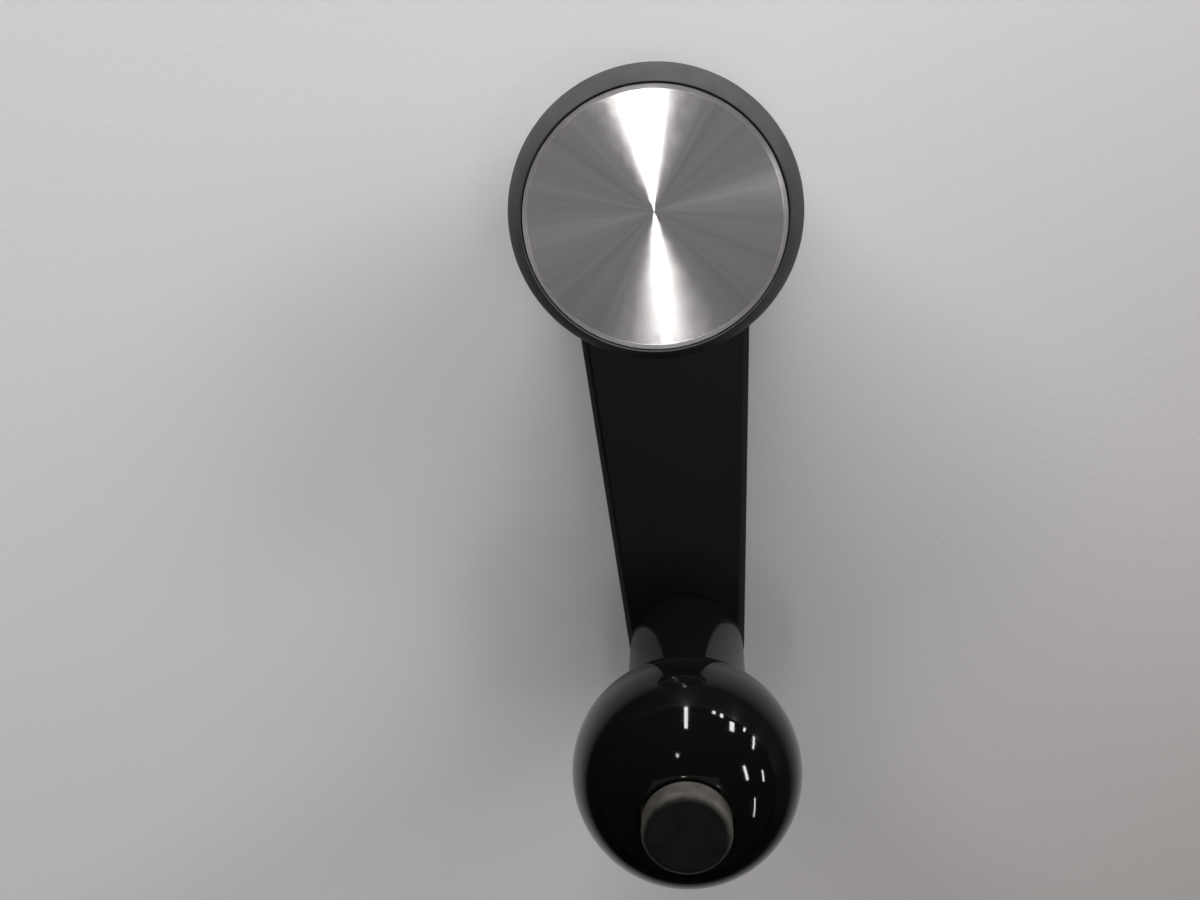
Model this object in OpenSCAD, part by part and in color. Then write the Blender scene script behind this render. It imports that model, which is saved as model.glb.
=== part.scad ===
// Crank handle: a tapered arm on a square drive socket, with a clip-on hub cap and a tall
// ball knob that revolves on a steel spindle.
// Units are millimetres. The origin is the centre of the drive socket at the hub's back face.
// +Z runs along the drive axis towards the cap, and +X points along the arm to the knob.

/* [Arm] */
// Distance from the drive axis to the knob axis
crank_throw = 72; // [68:1:85]
// Depth of the arm and hub, from the back face to the top face
arm_depth = 14; // [14:0.5:16]
// Half width of the arm at the drive axis
arm_half_w_hub = 14.6; // [14:0.25:15.5]
// Half width of the arm at the knob axis, which is also the radius of its round end
arm_half_w_end = 9.5; // [9.3:0.1:10]
// Radius of the hub boss
hub_r = 18; // [17.5:0.25:18.5]
// Thickness of the arm's top plate
plate_t = 3.2; // [2.8:0.1:3.6]
// Thickness of the arm's side walls
skirt_t = 2.2; // [2:0.1:2.4]
// Chamfer along the arm's top edges
edge_chamfer = 1; // [0.6:0.1:1.4]
// Height of the arch under the arm
arch_rise = 4; // [3:0.5:5]
// Thickness of the ribs under the arm
rib_t = 1.6; // [1.4:0.1:2]

/* [Drive] */
// Width across the flats of the square socket
square_af = 10; // [9:0.5:10]
// Radius of the smooth pilot bore in front of the square
pilot_r = 7.5; // [7.3:0.1:7.8]
// Depth of the pilot bore
pilot_depth = 4; // [3.5:0.1:4.5]
// Outer radius of the steel drive insert
insert_r = 10.5; // [10:0.25:11]
// Width across the flats of the insert's hexagonal flange
flange_af = 22; // [21.5:0.25:22]
// Nominal radius of the retaining screw's thread
screw_r = 3; // [2.5:0.5:3]
// Length of the retaining screw under its head
screw_len = 12; // [10:1:12]

/* [Cap] */
// Largest radius of the cap's bezel
cap_r = 22.3; // [22:0.1:23]
// Height of the bezel's lip above the arm's top face
cap_h = 10; // [10:0.1:10.6]
// Radius of curvature of the bezel's side
cap_side_r = 10; // [9.5:0.5:12]
// Radius of the metal disc
disc_r = 19.6; // [19.3:0.1:19.7]
// Width of the disc's bevelled rim
disc_bevel_w = 1.2; // [0.8:0.1:1.4]
// Thickness of the metal disc
disc_t = 0.9; // [0.8:0.1:1]

/* [Knob] */
// Radius of the ball
ball_r = 16; // [15.5:0.25:17]
// Height of the ball's centre above the arm's top face
ball_h = 44; // [43:0.5:48]
// Radius of the neck
neck_r = 9.2; // [9:0.1:9.4]
// Radius of the fillet between the neck and the ball
neck_fillet_r = 12; // [8:1:16]
// Radius of the spindle where the bushes run on it
spindle_r = 4; // [3.9:0.05:4.05]
// Radius of the spindle's head
spindle_head_r = 6; // [5.8:0.1:6]
// Height of the spindle's end face above the ball's centre
spindle_face_h = 18; // [17:0.1:18.4]

/* [Hidden] */
$fn = 96;
eps = 0.01;
over = 1;

// Colours
paint_black = [0.06, 0.06, 0.065];
bezel_grey = [0.16, 0.16, 0.17];
aluminium = [0.72, 0.71, 0.7];
bright_steel = [0.62, 0.62, 0.62];
dark_steel = [0.33, 0.32, 0.3];
spring_steel = [0.45, 0.45, 0.47];
bronze = [0.72, 0.53, 0.28];
rubber_black = [0.1, 0.1, 0.1];
foam_grey = [0.35, 0.35, 0.36];
phenolic_black = [0.03, 0.03, 0.03];

// Heights of the drive insert, from the back face up
flange_t = 2;
web_t = 3;
web_hole_r = screw_r + 0.2;
web_z = arm_depth - web_t;

// The retaining screw and its washers stand on the insert's web
washer_t = 1.6;
washer_r = 6;
spring_washer_r = 5.9;
spring_washer_bore_r = screw_r + 0.1;
spring_washer_gap = 1;
spring_washer_slant = 20;
screw_head_z = arm_depth + 2 * washer_t;
screw_head_r = 5.25;
screw_head_h = 3.3;
screw_hex_af = 4;
screw_hex_depth = 2;
screw_tip_chamfer = 0.6;

// Spigot on the hub that carries the cap
spigot_r = 15.6;
spigot_bore_r = 13.2;
spigot_h = 5.5;
spigot_fit = 0.2;

// Cap
cap_gap = 0.2;
cap_base_z = arm_depth + cap_gap;
cap_lip_z = arm_depth + cap_h;
cap_wide_z = cap_lip_z - 6.5;
cap_recess_r = disc_r + 0.2;
disc_drop = 0.3;
disc_top_z = cap_lip_z - disc_drop;
disc_bevel_h = 0.4;
pad_t = 0.3;
pad_r = disc_r - 1.5;
cap_floor_z = disc_top_z - disc_t - pad_t;
cap_floor_t = 1.5;
cap_skirt_bore_r = spigot_r + spigot_fit;
cap_skirt_r = cap_skirt_bore_r + 1.8;
cap_wall_t = 1.8;
cap_core_r = cap_r - cap_wall_t - 0.7;

// Wire ring that snaps into the spigot and the cap
snap_wire_r = 0.5;
snap_ring_r = spigot_r - 0.05;
snap_z = arm_depth + 3.5;
snap_groove_h = 1.1;
snap_groove_r = snap_ring_r - snap_wire_r - 0.05;
snap_cap_groove_r = snap_ring_r + snap_wire_r + 0.05;
snap_gap_angle = 24;

// Rubber ring at the foot of the spigot
cap_seal_wire_r = 0.65;
cap_seal_ring_r = spigot_r + cap_seal_wire_r;
cap_seal_space_r = cap_seal_ring_r + cap_seal_wire_r + 0.05;
cap_seal_space_h = 2 * cap_seal_wire_r + 0.05;

// Underside of the arm
pocket_top_z = arm_depth - plate_t;
hub_core_r = insert_r + 2.9;
hub_rib_count = 6;
rib_recess = 2;
cross_rib_count = 3;
arch_margin_hub = 2;
arch_start_x = hub_r + arch_margin_hub;
arch_end_x = crank_throw - arm_half_w_end;
arch_half = (arch_end_x - arch_start_x) / 2;
arch_r = (arch_half * arch_half + arch_rise * arch_rise) / (2 * arch_rise);

// Riveted foot of the spindle
tenon_r = 3;
tenon_bore_r = tenon_r + 0.05;
end_boss_r = 5.4;
end_boss_z = 4;
rivet_washer_t = 1.2;
rivet_head_r = 4.4;
rivet_head_h = 1.6;
rivet_head_z = end_boss_z - rivet_washer_t;

// Thrust stack at the foot of the knob
base_washer_r = 6.4;
base_washer_t = 1;
spindle_foot_z = arm_depth + base_washer_t;
wave_washer_t = 0.4;
wave_washer_r = 6.2;
wave_washer_bore_r = spindle_r + 0.3;
wave_rise = 0.5;
bush_flange_z = spindle_foot_z + wave_washer_t + wave_rise + 0.1;
bush_flange_t = 1.2;
bush_flange_r = 6.6;
bush_bore_r = spindle_r + 0.05;
bush_r = 5.4;
bush_len = 11;

// Knob
knob_gap = 0.4;
knob_base_z = arm_depth + knob_gap;
knob_base_round = 0.6;
ball_z = arm_depth + ball_h;
liner_r = spindle_head_r + 0.3;
liner_z = bush_flange_z + bush_flange_t;
liner_top_z = ball_z + 12.5;
knob_counterbore_r = bush_flange_r + 0.1;
fillet_x = neck_r + neck_fillet_r;
fillet_z = ball_z - sqrt(pow(ball_r + neck_fillet_r, 2) - pow(fillet_x, 2));

// Rubber ring between the arm and the knob
dust_seal_wire_r = 0.7;
dust_seal_ring_r = 7.5;
dust_groove_r = dust_seal_ring_r + dust_seal_wire_r + 0.1;
dust_groove_z = arm_depth + 2 * dust_seal_wire_r + 0.05;

// Head of the spindle
spindle_face_z = ball_z + spindle_face_h;
head_washer_t = 0.6;
head_washer_r = 6;
head_washer_z = liner_top_z + 0.08;
spindle_head_z = head_washer_z + head_washer_t + 0.07;
spindle_head_chamfer = 0.8;

// Flat washer: outer radius, bore radius and thickness, standing on z
module washer(r, bore_r, t, z) {
    translate([0, 0, z])
        difference() {
            cylinder(h = t, r = r);
            translate([0, 0, -over])
                cylinder(h = t + 2 * over, r = bore_r);
        }
}

// Ring of round section lying in the XY plane
module wire_ring(ring_r, wire_r, z, angle = 360) {
    translate([0, 0, z])
        rotate_extrude(angle = angle)
            translate([ring_r, 0])
                circle(r = wire_r, $fn = 32);
}

// Moves its children to the knob's axis
module at_knob() {
    translate([crank_throw, 0, 0])
        children();
}

// Tapered middle of the arm, with its sides moved in by inset
module arm_taper(inset, h) {
    linear_extrude(height = h)
        polygon([
            [0, arm_half_w_hub - inset], [crank_throw, arm_half_w_end - inset],
            [crank_throw, inset - arm_half_w_end], [0, inset - arm_half_w_hub]
        ]);
}

// Outer form of the arm: tapered middle, hub boss and round end, chamfered along the top
module arm_blank() {
    straight_h = arm_depth - edge_chamfer;
    arm_taper(0, straight_h);
    translate([0, 0, straight_h])
        hull() {
            arm_taper(0, eps);
            translate([0, 0, edge_chamfer - eps])
                arm_taper(edge_chamfer, eps);
        }
    cylinder(h = arm_depth, r = hub_r);
    at_knob() {
        cylinder(h = straight_h, r = arm_half_w_end);
        translate([0, 0, straight_h])
            cylinder(h = edge_chamfer, r1 = arm_half_w_end, r2 = arm_half_w_end - edge_chamfer);
    }
}

// Ribs under the top plate: one along the arm, some across it and a star in the hub
module arm_ribs() {
    rib_h = arm_depth - rib_recess;
    translate([0, -rib_t / 2, rib_recess])
        cube([crank_throw, rib_t, rib_h]);
    bay = (arch_end_x - arch_start_x) / (cross_rib_count - 1);
    for (i = [0 : cross_rib_count - 1])
        translate([arch_start_x + i * bay - rib_t / 2, -arm_half_w_hub, rib_recess])
            cube([rib_t, 2 * arm_half_w_hub, rib_h]);
    for (i = [0 : hub_rib_count - 1])
        rotate([0, 0, (i + 0.5) * 360 / hub_rib_count])
            translate([0, -rib_t / 2, rib_recess])
                cube([hub_r, rib_t, rib_h]);
}

// Hollow under the top plate, left by the bosses and ribs
module arm_pocket() {
    difference() {
        translate([0, 0, -over]) {
            arm_taper(skirt_t, pocket_top_z + over);
            cylinder(h = pocket_top_z + over, r = hub_r - skirt_t);
            at_knob()
                cylinder(h = pocket_top_z + over, r = arm_half_w_end - skirt_t);
        }
        translate([0, 0, -2 * over])
            cylinder(h = arm_depth, r = hub_core_r);
        at_knob()
            translate([0, 0, end_boss_z])
                cylinder(h = arm_depth, r = end_boss_r);
        difference() {
            arm_ribs();
            at_knob()
                cylinder(h = end_boss_z, r = arm_half_w_end);
        }
    }
}

module crank_arm() {
    color(paint_black)
        difference() {
            union() {
                arm_blank();
                cylinder(h = arm_depth + spigot_h, r = spigot_r);
            }
            arm_pocket();
            translate([0, 0, -over])
                cylinder(h = arm_depth, r = insert_r);
            translate([0, 0, arm_depth - flange_t])
                cylinder(h = flange_t + eps, r = flange_af / sqrt(3), $fn = 6);
            translate([0, 0, arm_depth])
                cylinder(h = spigot_h + over, r = spigot_bore_r);
            washer(spigot_r + over, snap_groove_r, snap_groove_h, snap_z - snap_groove_h / 2);
            at_knob()
                cylinder(h = arm_depth + over, r = tenon_bore_r);
            translate([(arch_start_x + arch_end_x) / 2, 0, arch_rise - arch_r])
                rotate([90, 0, 0])
                    cylinder(h = 4 * hub_r, r = arch_r, center = true, $fn = 180);
        }
}

module drive_insert() {
    color(bright_steel)
        difference() {
            union() {
                cylinder(h = arm_depth, r = insert_r);
                translate([0, 0, arm_depth - flange_t])
                    cylinder(h = flange_t, r = flange_af / sqrt(3), $fn = 6);
            }
            translate([0, 0, -over])
                cylinder(h = pilot_depth + over, r = pilot_r);
            translate([-square_af / 2, -square_af / 2, -over])
                cube([square_af, square_af, web_z + over]);
            cylinder(h = arm_depth + over, r = web_hole_r);
        }
}

module retaining_screw() {
    tip_z = screw_head_z - screw_len;
    dome_r = (screw_head_r * screw_head_r + screw_head_h * screw_head_h) / (2 * screw_head_h);
    color(bright_steel)
        difference() {
            union() {
                translate([0, 0, tip_z])
                    cylinder(h = screw_tip_chamfer, r1 = screw_r - screw_tip_chamfer, r2 = screw_r);
                translate([0, 0, tip_z + screw_tip_chamfer])
                    cylinder(h = screw_len - screw_tip_chamfer + eps, r = screw_r);
                intersection() {
                    translate([0, 0, screw_head_z + screw_head_h - dome_r])
                        sphere(r = dome_r);
                    translate([0, 0, screw_head_z])
                        cylinder(h = screw_head_h, r = screw_head_r);
                }
            }
            translate([0, 0, screw_head_z + screw_head_h - screw_hex_depth])
                cylinder(h = screw_hex_depth + over, r = screw_hex_af / sqrt(3), $fn = 6);
        }
}

module spring_washer() {
    color(spring_steel)
        difference() {
            washer(spring_washer_r, spring_washer_bore_r, washer_t, arm_depth + washer_t);
            translate([0, spring_washer_r / 2, screw_head_z - washer_t / 2])
                rotate([0, spring_washer_slant, 0])
                    cube([spring_washer_gap, spring_washer_r, 3 * washer_t], center = true);
        }
}

module plain_washer() {
    color(bright_steel)
        washer(washer_r, web_hole_r, washer_t, arm_depth);
}

// Section of the cap: a curved outer wall, an inner skirt over the spigot and a recessed floor
module cap_section() {
    difference() {
        intersection() {
            translate([cap_r - cap_side_r, cap_wide_z])
                circle(r = cap_side_r, $fn = 180);
            translate([0, cap_base_z])
                square([cap_r, cap_lip_z - cap_base_z]);
        }
        translate([-over, cap_floor_z])
            square([cap_recess_r + over, disc_t + pad_t + disc_drop + over]);
        translate([cap_skirt_r, cap_base_z - over])
            square([cap_core_r - cap_skirt_r, cap_floor_z - cap_floor_t - cap_base_z + over]);
        translate([cap_skirt_bore_r - over, snap_z - snap_groove_h / 2])
            square([snap_cap_groove_r - cap_skirt_bore_r + over, snap_groove_h]);
        translate([cap_skirt_bore_r - over, cap_base_z - over])
            square([cap_seal_space_r - cap_skirt_bore_r + over, cap_seal_space_h - cap_gap + over]);
        translate([-over, cap_base_z - over])
            square([cap_skirt_bore_r + over, cap_floor_z - cap_floor_t - cap_base_z + over]);
    }
    translate([0, cap_floor_z - cap_floor_t])
        square([cap_skirt_r, cap_floor_t]);
}

module cap_bezel() {
    color(bezel_grey)
        rotate_extrude()
            cap_section();
}

module cap_disc() {
    rim_h = disc_t - disc_bevel_h;
    color(aluminium)
        translate([0, 0, disc_top_z - disc_t]) {
            cylinder(h = rim_h, r = disc_r);
            translate([0, 0, rim_h])
                cylinder(h = disc_bevel_h, r1 = disc_r, r2 = disc_r - disc_bevel_w);
        }
}

module disc_adhesive() {
    color(foam_grey)
        translate([0, 0, cap_floor_z])
            cylinder(h = pad_t, r = pad_r);
}

module cap_snap_ring() {
    color(spring_steel)
        wire_ring(snap_ring_r, snap_wire_r, snap_z, 360 - snap_gap_angle);
}

module cap_seal() {
    color(rubber_black)
        wire_ring(cap_seal_ring_r, cap_seal_wire_r, arm_depth + cap_seal_wire_r);
}

module knob_spindle() {
    dome_r = (rivet_head_r * rivet_head_r + rivet_head_h * rivet_head_h) / (2 * rivet_head_h);
    head_h = spindle_face_z - spindle_head_z - spindle_head_chamfer;
    color(dark_steel)
        at_knob() {
            translate([0, 0, rivet_head_z - eps])
                cylinder(h = spindle_foot_z - rivet_head_z + 2 * eps, r = tenon_r);
            translate([0, 0, spindle_foot_z])
                cylinder(h = spindle_head_z - spindle_foot_z + eps, r = spindle_r);
            translate([0, 0, spindle_head_z])
                cylinder(h = head_h, r = spindle_head_r);
            translate([0, 0, spindle_head_z + head_h])
                cylinder(
                    h = spindle_head_chamfer,
                    r1 = spindle_head_r,
                    r2 = spindle_head_r - spindle_head_chamfer
                );
            intersection() {
                translate([0, 0, rivet_head_z - rivet_head_h + dome_r])
                    sphere(r = dome_r);
                translate([0, 0, rivet_head_z - rivet_head_h])
                    cylinder(h = rivet_head_h, r = rivet_head_r);
            }
        }
}

module base_washer() {
    color(bright_steel)
        at_knob()
            washer(base_washer_r, tenon_bore_r, base_washer_t, arm_depth);
}

// Curved spring washer: a flat ring cut from a cylindrical shell
module wave_washer() {
    bend_r = (wave_washer_r * wave_washer_r + wave_rise * wave_rise) / (2 * wave_rise);
    color(spring_steel)
        at_knob()
            intersection() {
                washer(wave_washer_r, wave_washer_bore_r, 3 * wave_rise, spindle_foot_z);
                translate([0, 0, spindle_foot_z + wave_rise - bend_r])
                    rotate([90, 0, 0])
                        difference() {
                            cylinder(
                                h = 3 * wave_washer_r, r = bend_r + wave_washer_t,
                                center = true, $fn = 180
                            );
                            cylinder(h = 4 * wave_washer_r, r = bend_r, center = true, $fn = 180);
                        }
            }
}

module head_washer() {
    color(bronze)
        at_knob()
            washer(head_washer_r, bush_bore_r, head_washer_t, head_washer_z);
}

module rivet_washer() {
    color(bright_steel)
        at_knob()
            washer(end_boss_r, tenon_bore_r, rivet_washer_t, rivet_head_z);
}

module dust_seal() {
    color(rubber_black)
        at_knob()
            wire_ring(dust_seal_ring_r, dust_seal_wire_r, arm_depth + dust_seal_wire_r);
}

// Section of the knob: ball, neck and the fillet between them, less the bore
module knob_section() {
    difference() {
        union() {
            intersection() {
                translate([0, ball_z])
                    circle(r = ball_r, $fn = 180);
                translate([0, ball_z - ball_r - over])
                    square([ball_r + over, 2 * (ball_r + over)]);
            }
            translate([0, knob_base_z + knob_base_round])
                square([neck_r, fillet_z - knob_base_z - knob_base_round]);
            translate([0, knob_base_z])
                square([neck_r - knob_base_round, knob_base_round + eps]);
            translate([neck_r - knob_base_round, knob_base_z + knob_base_round])
                circle(r = knob_base_round, $fn = 32);
            difference() {
                polygon([[0, fillet_z - eps], [fillet_x, fillet_z - eps], [0, ball_z]]);
                translate([fillet_x, fillet_z])
                    circle(r = neck_fillet_r, $fn = 180);
            }
        }
        translate([-over, liner_z - eps])
            square([liner_r + over, 3 * ball_r + ball_h]);
        translate([-over, knob_base_z - over])
            square([knob_counterbore_r + over, liner_z - knob_base_z + over]);
        translate([-over, knob_base_z - over])
            square([dust_groove_r + over, dust_groove_z - knob_base_z + over]);
    }
}

module knob() {
    color(phenolic_black)
        at_knob()
            rotate_extrude()
                knob_section();
}

module knob_liner() {
    color(bronze)
        at_knob()
            washer(liner_r, bush_r, liner_top_z - liner_z, liner_z);
}

module outer_bush() {
    color(bronze)
        at_knob()
            washer(bush_r, bush_bore_r, bush_len, liner_top_z - bush_len);
}

module inner_bush() {
    color(bronze)
        at_knob()
            difference() {
                union() {
                    translate([0, 0, bush_flange_z])
                        cylinder(h = bush_flange_t, r = bush_flange_r);
                    translate([0, 0, liner_z - eps])
                        cylinder(h = bush_len, r = bush_r);
                }
                translate([0, 0, bush_flange_z - over])
                    cylinder(h = bush_len + bush_flange_t + 2 * over, r = bush_bore_r);
            }
}

crank_arm();
drive_insert();
retaining_screw();
spring_washer();
plain_washer();
cap_bezel();
cap_disc();
disc_adhesive();
cap_snap_ring();
cap_seal();
knob_spindle();
base_washer();
wave_washer();
head_washer();
rivet_washer();
dust_seal();
knob();
knob_liner();
outer_bush();
inner_bush();
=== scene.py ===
"""Looks of the crank handle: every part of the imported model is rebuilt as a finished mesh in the
same place, with rounded edges and a procedural material, on a pale table under soft light.

Lengths are in millimetres until a mesh is made. The frame's +Z is the drive axis, +X points along
the arm to the knob, and the handle lies on z = 0.
"""

import math

import bmesh
import bpy
from mathutils import Matrix, Vector


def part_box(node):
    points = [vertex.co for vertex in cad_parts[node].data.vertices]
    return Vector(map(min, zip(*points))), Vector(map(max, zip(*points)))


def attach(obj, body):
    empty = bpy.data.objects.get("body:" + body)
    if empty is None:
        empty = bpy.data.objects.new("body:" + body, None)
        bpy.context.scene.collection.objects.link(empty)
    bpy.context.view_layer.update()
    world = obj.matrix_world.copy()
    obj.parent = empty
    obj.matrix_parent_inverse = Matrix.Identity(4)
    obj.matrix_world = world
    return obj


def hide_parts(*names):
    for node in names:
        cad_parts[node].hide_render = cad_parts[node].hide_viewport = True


MM = 0.001
FULL_TURN = 2 * math.pi

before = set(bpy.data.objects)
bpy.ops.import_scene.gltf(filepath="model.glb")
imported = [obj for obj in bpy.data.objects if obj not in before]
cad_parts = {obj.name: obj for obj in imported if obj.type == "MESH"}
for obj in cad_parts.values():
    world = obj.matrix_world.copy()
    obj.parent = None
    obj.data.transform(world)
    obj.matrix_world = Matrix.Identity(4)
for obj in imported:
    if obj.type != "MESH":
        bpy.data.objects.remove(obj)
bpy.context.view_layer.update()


class Box:
    """A CAD node's box in millimetres."""

    def __init__(self, node):
        low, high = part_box(node)
        self.low = low / MM
        self.high = high / MM
        self.centre = (self.low + self.high) / 2
        self.radius = (self.high.y - self.low.y) / 2
        self.height = self.high.z - self.low.z


# Places that the parts share, taken from the frame
ARM = Box("crank_arm")
INSERT = Box("drive_insert")
SPINDLE = Box("knob_spindle")
HUB_RADIUS = -ARM.low.x
ARM_TOP = INSERT.high.z
KNOB_X = SPINDLE.centre.x
END_RADIUS = ARM.high.x - KNOB_X


# ---------------------------------------------------------------- mesh tools


def link(name, mesh):
    """New object for a mesh, in the scene."""
    thing = bpy.data.objects.new(name, mesh)
    bpy.context.scene.collection.objects.link(thing)
    return thing


def mesh_object(name, verts, faces):
    """Object from points in millimetres and faces."""
    mesh = bpy.data.meshes.new(name)
    mesh.from_pydata([Vector(v) * MM for v in verts], [], faces)
    mesh.update()
    bm = bmesh.new()
    bm.from_mesh(mesh)
    bmesh.ops.remove_doubles(bm, verts=bm.verts, dist=1e-7)
    bmesh.ops.recalc_face_normals(bm, faces=bm.faces)
    bm.to_mesh(mesh)
    bm.free()
    return link(name, mesh)


def apply_modifiers(thing):
    """Bakes an object's modifiers into its mesh."""
    graph = bpy.context.evaluated_depsgraph_get()
    baked = bpy.data.meshes.new_from_object(thing.evaluated_get(graph))
    thing.modifiers.clear()
    thing.data = baked


def smooth(thing, angle=35):
    """Smooth shading with sharp edges past an angle, and flat faces kept flat."""
    mesh = thing.data
    mesh.shade_smooth()
    mesh.set_sharp_from_angle(angle=math.radians(angle))
    weighted = thing.modifiers.new("flat_faces", "WEIGHTED_NORMAL")
    weighted.keep_sharp = True
    weighted.weight = 100


def fillet(corners, arc_step=15):
    """Closed outline with its corners rounded. A corner is (a, b) or (a, b, radius)."""
    points = []
    count = len(corners)
    for i, corner in enumerate(corners):
        here = Vector(corner[:2])
        radius = corner[2] if len(corner) > 2 else 0
        if not radius:
            points.append(tuple(here))
            continue
        before = (Vector(corners[i - 1][:2]) - here).normalized()
        after = (Vector(corners[(i + 1) % count][:2]) - here).normalized()
        half = before.angle(after) / 2
        reach = radius / math.tan(half)
        centre = here + (before + after).normalized() * (radius / math.sin(half))
        start = here + before * reach - centre
        finish = here + after * reach - centre
        turn = math.atan2(start.x * finish.y - start.y * finish.x, start.dot(finish))
        steps = max(2, math.ceil(abs(math.degrees(turn)) / arc_step))
        for k in range(steps + 1):
            spin = turn * k / steps
            c, s = math.cos(spin), math.sin(spin)
            points.append((centre.x + c * start.x - s * start.y, centre.y + s * start.x + c * start.y))
    return points


def arc(centre, radius, start, finish, steps):
    """Points on an arc, from the start angle to the finish angle, in degrees."""
    points = []
    for k in range(steps + 1):
        a = math.radians(start + (finish - start) * k / steps)
        points.append((centre[0] + radius * math.cos(a), centre[1] + radius * math.sin(a)))
    return points


def lathe(name, outline, axis_x=0, segments=128):
    """Solid of revolution about a vertical axis: outline is a closed list of (radius, z)."""
    verts, rings = [], []
    for r, z in outline:
        if r < 1e-6:
            rings.append([len(verts)] * segments)
            verts.append((axis_x, 0, z))
            continue
        rings.append([len(verts) + k for k in range(segments)])
        for k in range(segments):
            a = FULL_TURN * k / segments
            verts.append((axis_x + r * math.cos(a), r * math.sin(a), z))
    faces = []
    for i, ring in enumerate(rings):
        following = rings[(i + 1) % len(rings)]
        for k in range(segments):
            n = (k + 1) % segments
            corners = list(dict.fromkeys([ring[k], ring[n], following[n], following[k]]))
            if len(corners) > 2:
                faces.append(corners)
    return mesh_object(name, verts, faces)


def ring_section(box, bore_r, edge):
    """Rounded rectangle from a bore to a box's outer radius, as tall as the box."""
    r, z0, z1 = box.radius, box.low.z, box.high.z
    return fillet([(bore_r, z0, edge), (r, z0, edge), (r, z1, edge), (bore_r, z1, edge)], 30)


def wire_section(ring_r, wire_r, z, steps=16):
    """Round section of a wire or a rubber ring."""
    return arc((ring_r, z), wire_r, 0, 360, steps)[:-1]


def washer(name, box, bore_r, axis_x=0, edge=0.15):
    """Flat ring with rounded edges that fills a CAD node's box."""
    return lathe(name, ring_section(box, bore_r, edge), axis_x, 96)


def block(name, centre, size, turn=0):
    """Box for cutting and joining, turned about the drive axis by an angle in degrees."""
    bm = bmesh.new()
    bmesh.ops.create_cube(bm, size=1)
    place = (
        Matrix.Rotation(math.radians(turn), 4, "Z")
        @ Matrix.Translation(Vector(centre) * MM)
        @ Matrix.Diagonal((*(Vector(size) * MM), 1))
    )
    bmesh.ops.transform(bm, matrix=place, verts=bm.verts)
    mesh = bpy.data.meshes.new(name)
    bm.to_mesh(mesh)
    bm.free()
    return link(name, mesh)


def cylinder(name, radius, z0, z1, axis_x=0, segments=96):
    """Plain cylinder, for cutting and joining."""
    return lathe(name, [(0, z0), (radius, z0), (radius, z1), (0, z1)], axis_x, segments)


def boolean(thing, operation, tools):
    """Joins tools to an object or cuts them from it, one after another, and removes them."""
    for tool in tools:
        step = thing.modifiers.new(operation, "BOOLEAN")
        step.operation = operation
        step.solver = "EXACT"
        step.object = tool
        apply_modifiers(thing)
        bpy.data.objects.remove(tool)


# ---------------------------------------------------------------- materials


# Where the disc's rings are centred, and the radius where its bevelled rim starts
TURNING_CENTRE = Vector((-1.2, 0, 0))
RIM_START = 18.9
# Radii between which the spindle's blackening is rubbed away and its head turns paler: partly wear, partly
# painted sheen of the light it mirrors
WEAR_AND_SHEEN_START = 5.58
WEAR_AND_SHEEN_FULL = 6.0
# Turning marks per metre, on the disc and on the plain turned parts
DISC_RING_SCALE = 9000.0
TURNING_SCALE = 5200.0


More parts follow.
